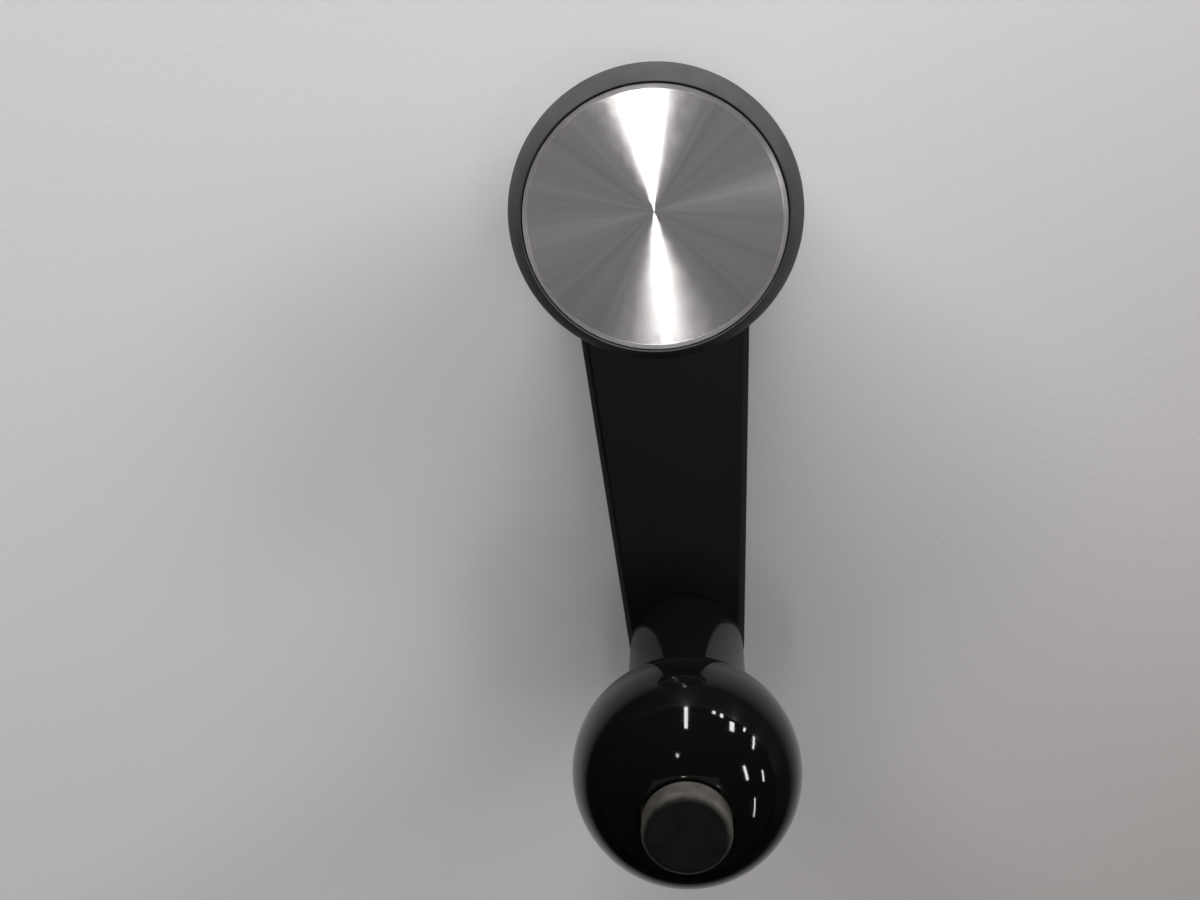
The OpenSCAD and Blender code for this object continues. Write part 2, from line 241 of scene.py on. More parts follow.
class Shader:
    """A new material with its Principled shader and short calls for the usual nodes."""

    def __init__(self, name, color, **settings):
        self.material = bpy.data.materials.new(name)
        self.material.use_nodes = True
        self.nodes = self.material.node_tree.nodes
        self.links = self.material.node_tree.links
        self.bsdf = self.nodes["Principled BSDF"]
        self.bsdf.inputs["Base Color"].default_value = (*color, 1)
        for socket, value in settings.items():
            self.bsdf.inputs[socket.replace("_", " ")].default_value = value
        self.coords = self.nodes.new("ShaderNodeTexCoord").outputs["Object"]

    def node(self, kind, **inputs):
        """New node. A keyword names an input socket, or sets a property if there is no such socket."""
        made = self.nodes.new(kind)
        for key, value in inputs.items():
            label = key.replace("_", " ")
            socket = made.inputs.get(label)
            if socket is None:
                setattr(made, key, value)
            elif isinstance(value, bpy.types.NodeSocket):
                self.links.new(value, socket)
            else:
                socket.default_value = value
        return made

    def math(self, operation, *values):
        """Math node on numbers or sockets."""
        made = self.nodes.new("ShaderNodeMath")
        made.operation = operation
        for i, value in enumerate(values):
            if isinstance(value, bpy.types.NodeSocket):
                self.links.new(value, made.inputs[i])
            else:
                made.inputs[i].default_value = value
        return made.outputs[0]

    def scaled(self, factors, vector=None):
        """A vector multiplied axis by axis, by default the object's coordinates."""
        made = self.node("ShaderNodeVectorMath", operation="MULTIPLY", Vector=vector or self.coords)
        made.inputs[1].default_value = factors
        return made.outputs[0]

    def length(self, vector):
        """Length of a vector, in metres."""
        return self.node("ShaderNodeVectorMath", operation="LENGTH", Vector=vector).outputs["Value"]

    def noise(self, scale, detail=2.0, roughness=0.5, stretch=None):
        """Noise value. Scale is per metre."""
        vector = self.scaled(stretch) if stretch else self.coords
        made = self.node(
            "ShaderNodeTexNoise", Vector=vector, Scale=scale, Detail=detail, Roughness=roughness
        )
        return made.outputs["Fac"]

    def spread(self, value, low, high, start=0.0, stop=1.0):
        """Maps a value from start..stop to low..high."""
        made = self.nodes.new("ShaderNodeMapRange")
        self.links.new(value, made.inputs["Value"])
        for label, number in (("From Min", start), ("From Max", stop), ("To Min", low), ("To Max", high)):
            made.inputs[label].default_value = number
        return made.outputs["Result"]

    def shade(self, value, dark, light, start=0.35, stop=0.65):
        """Colour between two tones by a value."""
        made = self.nodes.new("ShaderNodeValToRGB")
        made.color_ramp.elements[0].position = start
        made.color_ramp.elements[0].color = (*dark, 1)
        made.color_ramp.elements[1].position = stop
        made.color_ramp.elements[1].color = (*light, 1)
        self.links.new(value, made.inputs["Fac"])
        return made.outputs["Color"]

    def bump(self, height, depth):
        """Adds a bump of a depth in millimetres on top of the ones before it."""
        made = self.nodes.new("ShaderNodeBump")
        made.inputs["Strength"].default_value = 1
        made.inputs["Distance"].default_value = depth * MM
        self.links.new(height, made.inputs["Height"])
        socket = self.bsdf.inputs["Normal"]
        if socket.is_linked:
            self.links.new(socket.links[0].from_socket, made.inputs["Normal"])
        self.links.new(made.outputs["Normal"], socket)

    def set(self, socket, value):
        """Feeds an input of the Principled shader."""
        self.links.new(value, self.bsdf.inputs[socket])

    def distance(self, point):
        """Distance from a point given in millimetres."""
        made = self.node("ShaderNodeVectorMath", operation="DISTANCE", Vector=self.coords)
        made.inputs[1].default_value = point * MM
        return made.outputs["Value"]

    def rings(self, value, scale):
        """Noise that only changes along one value."""
        made = self.node("ShaderNodeTexNoise", noise_dimensions="1D", W=value, Scale=scale, Detail=2.0)
        return made.outputs["Fac"]

    def turned(self, axis_x):
        """Distance from a vertical axis, in metres, and the turning marks round that axis."""
        parts = self.node("ShaderNodeSeparateXYZ", Vector=self.coords).outputs
        x = self.math("SUBTRACT", parts["X"], axis_x * MM)
        squares = self.math("ADD", self.math("MULTIPLY", x, x), self.math("MULTIPLY", parts["Y"], parts["Y"]))
        radius = self.math("SQRT", squares)
        return radius, self.rings(self.math("ADD", radius, parts["Z"]), TURNING_SCALE)


def arm_paint():
    """Satin black enamel with a slight orange peel."""
    s = Shader("arm_paint", (0.003, 0.003, 0.0033), Roughness=0.4, Specular_IOR_Level=0.35)
    blotch = s.noise(90, 3)
    s.set("Base Color", s.shade(blotch, (0.002, 0.002, 0.0022), (0.0034, 0.0034, 0.0038)))
    s.set("Roughness", s.spread(s.noise(260, 4), 0.34, 0.5))
    s.bump(s.noise(1400, 2), 0.012)
    s.bump(s.noise(5200, 1), 0.003)
    return s.material


def bezel_plastic():
    """Dark grey moulding with a fine spark-eroded texture."""
    s = Shader("bezel_plastic", (0.045, 0.0435, 0.0455), Roughness=0.5, Specular_IOR_Level=0.08)
    s.set("Base Color", s.shade(s.noise(160, 3), (0.041, 0.0395, 0.0415), (0.051, 0.0495, 0.0515)))
    s.set("Roughness", s.spread(s.noise(700, 3), 0.42, 0.58))
    s.bump(s.noise(4200, 3, 0.6), 0.008)
    return s.material


def spun_aluminium():
    """Disc face turned with fine rings, which stretch each reflection along the radius. The rings'
    centre is a little off the disc's, as on a blank cut from turned sheet."""
    s = Shader("spun_aluminium", (0.85, 0.835, 0.825), Metallic=1.0, Roughness=0.12, Anisotropic=1.0)
    offset = s.node("ShaderNodeVectorMath", operation="SUBTRACT", Vector=s.coords)
    offset.inputs[1].default_value = TURNING_CENTRE * MM
    flat = s.scaled((1, 1, 0), offset.outputs[0])
    outward = s.node("ShaderNodeVectorMath", operation="NORMALIZE", Vector=flat)
    s.set("Tangent", outward.outputs[0])
    x, y, _ = s.node("ShaderNodeSeparateXYZ", Vector=flat).outputs
    angle = s.math("ARCTAN2", y, x)
    from_axis = s.length(s.scaled((1, 1, 0)))
    fan = s.node("ShaderNodeTexNoise", noise_dimensions="1D", W=angle, Scale=5.0, Detail=3.0)
    s.set("Base Color", s.shade(fan.outputs["Fac"], (0.8, 0.765, 0.76), (0.94, 0.9, 0.895), 0.3, 0.7))
    s.set("Roughness", s.spread(from_axis, 0.12, 0.45, (RIM_START - 0.1) * MM, (RIM_START + 0.1) * MM))
    s.bump(s.rings(s.length(flat), DISC_RING_SCALE), 0.004)
    return s.material


def gloss_phenolic():
    """Polished black phenolic with faint hairlines and a little dust."""
    s = Shader("knob_phenolic", (0.0015, 0.0015, 0.0015), Roughness=0.05, IOR=1.5)
    hair = s.noise(320, 4, 0.7, stretch=(1, 1, 9))
    s.set("Roughness", s.spread(hair, 0.03, 0.1, 0.3, 0.75))
    s.bump(s.noise(240, 2), 0.004)
    return s.material


def turned_metal(name, color, roughness, axis_x):
    """Metal with turning marks round a vertical axis."""
    s = Shader(name, color, Metallic=1.0, Roughness=roughness)
    _, marks = s.turned(axis_x)
    cloud = s.noise(420, 4, 0.6)
    dark = tuple(c * 0.75 for c in color)
    light = tuple(min(1, c * 1.2) for c in color)
    s.set("Base Color", s.shade(cloud, dark, light))
    s.set("Roughness", s.spread(cloud, roughness * 0.8, roughness * 1.3))
    s.bump(marks, 0.004)
    return s.material


def wear_and_sheen_steel():
    """Blackened steel of the spindle, paler on the side and the edge of its head: partly rubbed wear, partly
    a painted sheen that stands in for the light this side mirrors.
    """
    s = Shader("spindle_steel", (0.008, 0.0074, 0.0062), Metallic=0.3, Roughness=0.42)
    radius, marks = s.turned(KNOB_X)
    ragged = s.math("ADD", radius, s.math("MULTIPLY", s.noise(900, 4, 0.65), 0.5 * MM))
    # Mask of the head's side and edge, where wear and a painted sheen make the steel paler
    wear_and_sheen = s.spread(ragged, 0, 1, WEAR_AND_SHEEN_START * MM, WEAR_AND_SHEEN_FULL * MM)
    cloud = s.noise(420, 4, 0.6)
    dark = s.shade(cloud, (0.0062, 0.0058, 0.0048), (0.0105, 0.0098, 0.0082))
    # Paler tone of the side: partly bare worn steel, partly painted sheen in place of reflected light
    pale = s.shade(cloud, (0.034, 0.0315, 0.028), (0.064, 0.06, 0.053))
    mix = s.node("ShaderNodeMix", data_type="RGBA", Factor=wear_and_sheen)
    s.links.new(dark, mix.inputs[6])
    s.links.new(pale, mix.inputs[7])
    s.set("Base Color", mix.outputs[2])
    s.set("Roughness", s.spread(cloud, 0.34, 0.52))
    s.bump(marks, 0.003)
    return s.material


def rubber():
    """Black moulded rubber."""
    s = Shader("seal_rubber", (0.02, 0.02, 0.02), Roughness=0.6)
    s.bump(s.noise(3000, 2), 0.01)
    return s.material


def foam():
    """Grey foam of the adhesive pad."""
    s = Shader("adhesive_pad", (0.25, 0.25, 0.26), Roughness=0.9)
    s.bump(s.noise(6000, 3), 0.03)
    return s.material


def metal(name, color, roughness):
    """Plain rolled or plated metal with cloudy tone."""
    s = Shader(name, color, Metallic=1.0, Roughness=roughness)
    cloud = s.noise(500, 4, 0.6)
    dark = tuple(c * 0.8 for c in color)
    s.set("Base Color", s.shade(cloud, dark, color))
    s.set("Roughness", s.spread(cloud, roughness * 0.8, roughness * 1.3))
    s.bump(s.noise(2600, 2), 0.004)
    return s.material


PAINT = arm_paint()
BEZEL = bezel_plastic()
ALUMINIUM = spun_aluminium()
PHENOLIC = gloss_phenolic()
SPINDLE_STEEL = wear_and_sheen_steel()
TURNED_STEEL = turned_metal("turned_steel", (0.5, 0.5, 0.49), 0.3, 0)
BUSH_BRONZE = turned_metal("bush_bronze", (0.5, 0.33, 0.16), 0.4, KNOB_X)
LINER_BRASS = turned_metal("liner_brass", (0.72, 0.54, 0.26), 0.3, KNOB_X)
ZINC = metal("plated_screw", (0.62, 0.62, 0.6), 0.28)
SPRING_STEEL = metal("spring_steel", (0.22, 0.22, 0.23), 0.35)
RUBBER = rubber()
FOAM = foam()


def finish_piece(thing, body, node, material, angle=35):
    """Shades a piece, rides it on its body and lets it stand for its CAD node."""
    thing.data.materials.clear()
    thing.data.materials.append(material)
    smooth(thing, angle)
    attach(thing, body)
    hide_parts(node)
    return thing


# ---------------------------------------------------------------- arm

# Plan of the arm, beside what the frame gives
HALF_WIDTH_AT_HUB = 14.6
HUB_FILLET = 3.0
# Thickness of the walls and the top plate, and the bevelled top edge
WALL = 2.2
PLATE = 3.2
POCKET_TOP = ARM_TOP - PLATE
TOP_EDGE = 1.0
# Ribs start above the arm's lower edge and end inside the plate
RIB = 1.6
RIB_RECESS = 2.0
RIB_TOP = ARM_TOP - PLATE / 2
# Shallow arch in the arm's lower edge, between the hub and the end
ARCH_RISE = 4.0
ARCH_START = HUB_RADIUS + 2
ARCH_END = KNOB_X - END_RADIUS
ARCH_MID = (ARCH_START + ARCH_END) / 2
ARCH_HALF = (ARCH_END - ARCH_START) / 2
ARCH_RADIUS = (ARCH_HALF**2 + ARCH_RISE**2) / (2 * ARCH_RISE)
# Seat of the drive insert
INSERT_RADIUS = 10.5
CORE_RADIUS = INSERT_RADIUS + 2.9
FLANGE_WIDTH = 22.0
FLANGE_GAP = 0.02
FLANGE_Z = ARM_TOP - 2
# Spigot under the cap, with the groove for its snap ring
SPIGOT_BORE = 13.2
SPIGOT_RADIUS = 15.6
SNAP_RING = Box("cap_snap_ring")
SNAP_Z = SNAP_RING.centre.z
SNAP_WIRE = SNAP_RING.height / 2
SNAP_RADIUS = SNAP_RING.radius - SNAP_WIRE
GROOVE_HALF = SNAP_WIRE + 0.05
GROOVE_LOW = SNAP_Z - GROOVE_HALF
GROOVE_HIGH = SNAP_Z + GROOVE_HALF
# Where the spindle is riveted in
RIVET_WASHER = Box("rivet_washer")
TENON_BORE = 3.05


def arm_outline(hub_steps=48, fillet_steps=8, side_steps=48, end_steps=24):
    """Arm seen from above, as (point, outward normal) pairs: hub, fillets, tapered sides and end."""
    taper = math.acos(END_RADIUS / math.hypot(HALF_WIDTH_AT_HUB, KNOB_X))
    taper -= math.atan2(KNOB_X, HALF_WIDTH_AT_HUB)
    across = Vector((math.sin(taper), math.cos(taper)))
    along = Vector((math.cos(taper), -math.sin(taper)))
    side_offset = HALF_WIDTH_AT_HUB * math.cos(taper) + HUB_FILLET
    reach = math.sqrt((HUB_RADIUS + HUB_FILLET) ** 2 - side_offset**2)
    corner = across * side_offset + along * reach
    knob = Vector((KNOB_X, 0))

    def fan(start, stop, steps):
        """Unit vectors from one angle to another."""
        angles = [start + (stop - start) * k / steps for k in range(steps + 1)]
        return [Vector((math.cos(a), math.sin(a))) for a in angles]

    half = [(n * HUB_RADIUS, n) for n in fan(math.pi, math.atan2(corner.y, corner.x), hub_steps)]
    inward = fan(math.atan2(-corner.y, -corner.x), math.atan2(-across.y, -across.x), fillet_steps)
    half += [(corner + n * HUB_FILLET, -n) for n in inward[1:]]
    side_start, side_end = half[-1][0], knob + across * END_RADIUS
    half += [(side_start.lerp(side_end, k / side_steps), across) for k in range(1, side_steps + 1)]
    half += [(knob + n * END_RADIUS, n) for n in fan(math.atan2(across.y, across.x), 0, end_steps)[1:]]
    mirrored = [(Vector((p.x, -p.y)), Vector((n.x, -n.y))) for p, n in reversed(half[1:-1])]
    return half + mirrored


def arch_height(x):
    """Height of the arch under the arm at x."""
    off = abs(x - ARCH_MID)
    return math.sqrt(ARCH_RADIUS**2 - off**2) + ARCH_RISE - ARCH_RADIUS if off < ARCH_HALF else 0


def loft(name, outline, steps, open_between=None):
    """Solid from an outline repeated at each (inset, z) step, with the lowest rings lifted by the
    arch. The rings join in a loop, or end in two flat caps on either side of open_between, the
    index of a step."""
    verts, faces = [], []
    count = len(outline)
    for inset, z in steps:
        for point, normal in outline:
            place = point - normal * inset
            lift = arch_height(place.x) if z < RIB_RECESS else 0
            verts.append((place.x, place.y, z + lift))
    for i in range(len(steps)):
        here, above = i * count, (i + 1) % len(steps) * count
        if i == open_between:
            faces += [[here + k for k in range(count)], [above + k for k in range(count)]]
            continue
        for k in range(count):
            n = (k + 1) % count
            faces.append((here + k, here + n, above + n, above + k))
    return mesh_object(name, verts, faces)


def arm_shell(outline):
    """Top plate and side walls of the arm, open underneath."""
    # The plate's two flat caps start at this inset
    plate_inset = WALL + 4
    steps = fillet(
        [
            (WALL, POCKET_TOP, 0.8),
            (WALL, 0, 0.5),
            (0, 0, 0.5),
            (0, ARM_TOP - TOP_EDGE, 0.6),
            (TOP_EDGE, ARM_TOP, 0.6),
            (plate_inset, ARM_TOP),
            (plate_inset, POCKET_TOP),
        ],
        22,
    )
    return loft("crank_arm_casting", outline, steps, open_between=len(steps) - 2)


def arm_ribs(outline):
    """Ribs under the plate: one along the arm, some across it and a star in the hub."""
    centre_z = (RIB_RECESS + RIB_TOP) / 2
    height = RIB_TOP - RIB_RECESS
    ribs = block("rib_along", (KNOB_X / 2, 0, centre_z), (KNOB_X, RIB, height))
    others = [
        block("rib_across", (x, 0, centre_z), (RIB, 2 * HUB_RADIUS, height))
        for x in (ARCH_START, ARCH_MID, ARCH_END)
    ]
    others += [
        block("rib_star", (HUB_RADIUS / 2, 0, centre_z), (HUB_RADIUS, RIB, height), turn)
        for turn in range(30, 360, 60)
    ]
    boolean(ribs, "UNION", others)
    arch = cylinder("arch", ARCH_RADIUS, -2 * HUB_RADIUS, 2 * HUB_RADIUS, segments=256)
    arch.data.transform(Matrix.Rotation(math.pi / 2, 4, "X"))
    arch.data.transform(Matrix.Translation(Vector((ARCH_MID, 0, ARCH_RISE - ARCH_RADIUS)) * MM))
    rivet_space = cylinder("rivet_space", END_RADIUS, -1, RIVET_WASHER.high.z, KNOB_X)
    boolean(ribs, "DIFFERENCE", [arch, rivet_space])
    limit = loft("rib_limit", outline, [(WALL / 2, RIB_RECESS), (WALL / 2, RIB_TOP + 1)], open_between=1)
    boolean(ribs, "INTERSECT", [limit])
    return ribs


def hexagon(name, across_flats, z0, z1):
    """Hexagonal prism with its corners along X."""
    return cylinder(name, across_flats / math.sqrt(3), z0, z1, segments=6)


def crank_arm():
    """Cast arm: channel section with ribs, hub ring, cap spigot and the bosses for both bores."""
    outline = arm_outline()
    arm = arm_shell(outline)
    groove_floor = SNAP_RADIUS - GROOVE_HALF
    core_outline = [
        (INSERT_RADIUS - 1, 0),
        (CORE_RADIUS, 0, 0.4),
        (CORE_RADIUS, RIB_TOP),
        (INSERT_RADIUS - 1, RIB_TOP),
    ]
    boss_outline = [
        (0, RIVET_WASHER.high.z),
        (RIVET_WASHER.radius, RIVET_WASHER.high.z, 0.4),
        (RIVET_WASHER.radius, RIB_TOP),
        (0, RIB_TOP),
    ]
    spigot_outline = [
        (SPIGOT_BORE, ARM_TOP - 1),
        (SPIGOT_RADIUS, ARM_TOP - 1),
        (SPIGOT_RADIUS, GROOVE_LOW, 0.1),
        (groove_floor, GROOVE_LOW, 0.15),
        (groove_floor, GROOVE_HIGH, 0.15),
        (SPIGOT_RADIUS, GROOVE_HIGH, 0.1),
        (SPIGOT_RADIUS, ARM.high.z, 0.6),
        (SPIGOT_BORE, ARM.high.z, 0.3),
    ]
    hub_core = lathe("hub_core", fillet(core_outline))
    end_boss = lathe("end_boss", fillet(boss_outline), KNOB_X)
    spigot = lathe("spigot", fillet(spigot_outline))
    boolean(arm, "UNION", [arm_ribs(outline), hub_core, end_boss, spigot])
    insert_bore = cylinder("insert_bore", INSERT_RADIUS, -1, FLANGE_Z + 0.5)
    flange_pocket = hexagon("flange_pocket", FLANGE_WIDTH, FLANGE_Z, ARM_TOP + 1)
    tenon_bore = cylinder("tenon_bore", TENON_BORE, 0, ARM_TOP + 1, KNOB_X)
    boolean(arm, "DIFFERENCE", [insert_bore, flange_pocket, tenon_bore])
    finish_piece(arm, "handle", "crank_arm", PAINT)


# ---------------------------------------------------------------- drive and its screw

PILOT_RADIUS = 7.5
PILOT_DEPTH = 4.0
SQUARE_WIDTH = 10.0
# Web between the square and the screw's head
WEB_Z = ARM_TOP - 3
WEB_HOLE = 3.2
# Round reliefs in the square's corners, set in from the corner points by a factor
RELIEF_RADIUS = 0.7
RELIEF_INSET = 0.96


def drive_insert():
    """Steel insert: pilot bore, broached square with relieved corners, and a hexagonal flange."""
    outline = [
        (WEB_HOLE, PILOT_DEPTH - 0.01),
        (PILOT_RADIUS, PILOT_DEPTH, 0.3),
        (PILOT_RADIUS, 0, 0.4),
        (INSERT_RADIUS, 0, 0.3),
        (INSERT_RADIUS, ARM_TOP - 0.5),
        (WEB_HOLE, ARM_TOP - 0.5, 0.3),
    ]
    insert = lathe("drive_insert_turned", fillet(outline, 45))
    boolean(insert, "UNION", [hexagon("flange", FLANGE_WIDTH - FLANGE_GAP, FLANGE_Z, ARM_TOP)])
    half = SQUARE_WIDTH / 2
    mid_z = (PILOT_DEPTH + WEB_Z) / 2
    depth = WEB_Z - PILOT_DEPTH
    cutters = [
        block("broach", (0, 0, mid_z - 0.5), (SQUARE_WIDTH, SQUARE_WIDTH, depth + 1)),
        cylinder("web_hole", WEB_HOLE, PILOT_DEPTH, ARM_TOP + 1, segments=64),
    ]
    for x in (-half, half):
        for y in (-half, half):
            relief = cylinder("relief", RELIEF_RADIUS, PILOT_DEPTH - 1, WEB_Z, segments=24)
            relief.data.transform(Matrix.Translation(Vector((x, y, 0)) * (MM * RELIEF_INSET)))
            cutters.append(relief)
    boolean(insert, "DIFFERENCE", cutters)
    finish_piece(insert, "handle", "drive_insert", TURNED_STEEL)


SCREW = Box("retaining_screw")
SCREW_HEAD_Z = Box("spring_washer").high.z
SCREW_HEAD_RADIUS = SCREW.radius
SCREW_RADIUS = 3.0
THREAD_PITCH = 1.0
THREAD_DEPTH = 0.55
THREAD_TOP = SCREW_HEAD_Z - 3.5
SCREW_TIP = 0.6
KEY_WIDTH = 4.0


def threaded_shank(segments=64, rings_per_pitch=10):
    """Shank with a helical thread that runs out at the tip and under the head."""
    length = SCREW_HEAD_Z - SCREW.low.z
    count = round(length / THREAD_PITCH * rings_per_pitch)
    verts = [(0, 0, SCREW.low.z)]
    for i in range(count + 1):
        z = SCREW.low.z + length * i / count
        limit = SCREW_RADIUS - SCREW_TIP * max(0, 1 - (z - SCREW.low.z) / SCREW_TIP)
        depth = THREAD_DEPTH * min(1, max(0, (THREAD_TOP - z) / THREAD_PITCH))
        for k in range(segments):
            phase = (z / THREAD_PITCH - k / segments) % 1
            r = min(limit, SCREW_RADIUS - depth * (1 - abs(2 * phase - 1)))
            a = FULL_TURN * k / segments
            verts.append((r * math.cos(a), r * math.sin(a), z))
    last = len(verts)
    verts.append((0, 0, SCREW_HEAD_Z))
    faces = []
    for k in range(segments):
        n = (k + 1) % segments
        faces.append((0, 1 + n, 1 + k))
        faces.append((last, last - segments + k, last - segments + n))
        for i in range(count):
            row = 1 + i * segments
            faces.append((row + k, row + n, row + segments + n, row + segments + k))
    return mesh_object("retaining_screw_m6", verts, faces)


def retaining_screw():
    """Button-head screw with a hexagonal recess."""
    height = SCREW.high.z - SCREW_HEAD_Z
    dome = (SCREW_HEAD_RADIUS**2 + height**2) / (2 * height)
    centre_z = SCREW.high.z - dome
    rise = math.degrees(math.asin((SCREW_HEAD_Z + 0.5 - centre_z) / dome))
    head = lathe(
        "screw_head",
        [
            (0, SCREW_HEAD_Z - 0.05),
            (SCREW_HEAD_RADIUS - 0.5, SCREW_HEAD_Z - 0.05),
            *arc((0, centre_z), dome, rise, 90, 16),
        ],
        segments=96,
    )
    recess = hexagon("hex_recess", KEY_WIDTH, SCREW.high.z - 2, SCREW.high.z + 1)
    screw = threaded_shank()
    boolean(screw, "UNION", [head])
    boolean(screw, "DIFFERENCE", [recess])
    finish_piece(screw, "handle", "retaining_screw", ZINC)


def swept_ring(name, section, start, stop, slant=0, steps=120):
    """Open ring: a closed (radius, z) section swept between two angles, with ends cut on a slant."""
    mid_z = sum(z for _, z in section) / len(section)
    verts, faces = [], []
    count = len(section)
    for i in range(steps + 1):
        for r, z in section:
            a = math.radians(start + (stop - start) * i / steps + slant * (z - mid_z))
            verts.append((r * math.cos(a), r * math.sin(a), z))
    for i in range(steps):
        for k in range(count):
            n = (k + 1) % count
            faces.append((i * count + k, i * count + n, (i + 1) * count + n, (i + 1) * count + k))
    faces.append(list(range(count)))
    faces.append([steps * count + k for k in range(count)])
    return mesh_object(name, verts, faces)


def screw_washers():
    """Plain washer and split spring washer under the screw's head."""
    plain = washer("plain_washer_m6", Box("plain_washer"), WEB_HOLE, edge=0.2)
    finish_piece(plain, "handle", "plain_washer", ZINC)
    section = ring_section(Box("spring_washer"), SCREW_RADIUS + 0.1, 0.2)
    split = swept_ring("spring_washer_m6", section, 96, 444, slant=-4)
    finish_piece(split, "handle", "spring_washer", SPRING_STEEL)


# ---------------------------------------------------------------- cap

CAP = Box("cap_bezel")
DISC = Box("cap_disc")
PAD = Box("disc_adhesive")
# Curve of the cap's side, and the height where it is widest
CAP_SIDE_RADIUS = 10.0
CAP_WIDE_Z = CAP.high.z - 6.5
CAP_LIP_ROUND = 0.16
CAP_FLOOR = 1.5
CAP_SKIRT_BORE = SPIGOT_RADIUS + 0.2
CAP_SKIRT = CAP_SKIRT_BORE + 1.8
CAP_CORE = CAP.radius - 2.5
DISC_BEVEL_WIDTH = 0.7
DISC_BEVEL_HEIGHT = 0.18


def cap_bezel():
    """Moulded cap: curved side, recess for the disc, and a skirt that clips over the spigot."""
    side_x = CAP.radius - CAP_SIDE_RADIUS
    recess = DISC.radius + 0.2
    under = PAD.low.z - CAP_FLOOR
    seal = Box("cap_seal")
    seal_space = seal.radius + 0.05
    start = math.degrees(math.asin((CAP.low.z - CAP_WIDE_Z) / CAP_SIDE_RADIUS))
    lip_x = recess + CAP_LIP_ROUND
    lip_turn = math.acos((lip_x - side_x) / (CAP_SIDE_RADIUS - CAP_LIP_ROUND))
    lip_z = CAP_WIDE_Z + (CAP_SIDE_RADIUS - CAP_LIP_ROUND) * math.sin(lip_turn)
    side = arc((side_x, CAP_WIDE_Z), CAP_SIDE_RADIUS, start, math.degrees(lip_turn), 28)
    outline = [
        (0, under),
        (CAP_SKIRT_BORE, under, 0.3),
        (CAP_SKIRT_BORE, GROOVE_HIGH),
        (SNAP_RADIUS + GROOVE_HALF, GROOVE_HIGH),
        (SNAP_RADIUS + GROOVE_HALF, GROOVE_LOW),
        (CAP_SKIRT_BORE, GROOVE_LOW, 0.1),
        (CAP_SKIRT_BORE, seal.high.z + 0.05, 0.1),
        (seal_space, seal.high.z + 0.05),
        (seal_space, CAP.low.z, 0.1),
        (CAP_SKIRT, CAP.low.z, 0.2),
        (CAP_SKIRT, under, 0.4),
        (CAP_CORE, under, 0.4),
        (CAP_CORE, CAP.low.z, 0.3),
        (*side[0], 0.3),
        *side[1:],
        *arc((lip_x, lip_z), CAP_LIP_ROUND, math.degrees(lip_turn), 180, 8)[1:],
        (recess, PAD.low.z, 0.15),
        (0, PAD.low.z),
    ]
    cap = lathe("cap_bezel_moulding", fillet(outline), segments=256)
    finish_piece(cap, "handle", "cap_bezel", BEZEL)


def cap_disc():
    """Turned metal disc with a bevelled rim, on its adhesive pad."""
    shoulder = DISC.high.z - DISC_BEVEL_HEIGHT
    outline = [
        (0, DISC.low.z),
        (DISC.radius, DISC.low.z, 0.1),
        (DISC.radius, shoulder, 0.07),
        (DISC.radius - DISC_BEVEL_WIDTH, DISC.high.z, 0.15),
        (0, DISC.high.z),
    ]
    disc = lathe("cap_disc_spun", fillet(outline), segments=256)
    finish_piece(disc, "handle", "cap_disc", ALUMINIUM, angle=50)
    pad_outline = [
        (0, PAD.low.z),
        (PAD.radius, PAD.low.z, 0.1),
        (PAD.radius, PAD.high.z, 0.1),
        (0, PAD.high.z),
    ]
    pad = lathe("disc_adhesive_pad", fillet(pad_outline))
    finish_piece(pad, "handle", "disc_adhesive", FOAM)


def cap_rings():
    """Wire snap ring and rubber ring between the spigot and the cap."""
    snap = swept_ring("cap_snap_ring_wire", wire_section(SNAP_RADIUS, SNAP_WIRE, SNAP_Z), 0, 336)
    finish_piece(snap, "handle", "cap_snap_ring", SPRING_STEEL, angle=60)
    box = Box("cap_seal")
    section = wire_section(box.radius - box.height / 2, box.height / 2, box.centre.z)
    finish_piece(lathe("cap_seal_ring", section), "handle", "cap_seal", RUBBER, angle=60)


# ---------------------------------------------------------------- spindle and what turns on it

HEAD_WASHER = Box("head_washer")
BASE_WASHER = Box("base_washer")
LINER = Box("knob_liner")
SPINDLE_RADIUS = 4.0
TENON_RADIUS = 3.0
SPINDLE_HEAD_RADIUS = SPINDLE.radius
SPINDLE_HEAD_Z = HEAD_WASHER.high.z + 0.07
SPINDLE_CHAMFER = 0.8
RIVET_RADIUS = 4.4
BUSH_BORE = SPINDLE_RADIUS + 0.05
WAVE_STOCK = 0.4


def knob_spindle():
    """Turned spindle with a broad head, and a tenon riveted over under the arm."""
    rivet_z = RIVET_WASHER.low.z
    rivet_height = rivet_z - SPINDLE.low.z
    dome = (RIVET_RADIUS**2 + rivet_height**2) / (2 * rivet_height)
    dome_z = SPINDLE.low.z + dome
    rim = math.degrees(math.atan2(rivet_z - dome_z, RIVET_RADIUS))
    outline = [
        *arc((0, dome_z), dome, -90, rim - 2, 10),
        (RIVET_RADIUS, rivet_z, 0.1),
        (TENON_RADIUS, rivet_z),
        (TENON_RADIUS, BASE_WASHER.high.z),
        (SPINDLE_RADIUS, BASE_WASHER.high.z, 0.2),
        (SPINDLE_RADIUS, SPINDLE_HEAD_Z),
        (SPINDLE_HEAD_RADIUS, SPINDLE_HEAD_Z, 0.3),
        (SPINDLE_HEAD_RADIUS, SPINDLE.high.z - SPINDLE_CHAMFER, 0.3),
        (SPINDLE_HEAD_RADIUS - SPINDLE_CHAMFER, SPINDLE.high.z, 0.3),
        (0, SPINDLE.high.z),
    ]
    spindle = lathe("knob_spindle_turned", fillet(outline, 10), KNOB_X, 160)
    finish_piece(spindle, "handle", "knob_spindle", SPINDLE_STEEL)


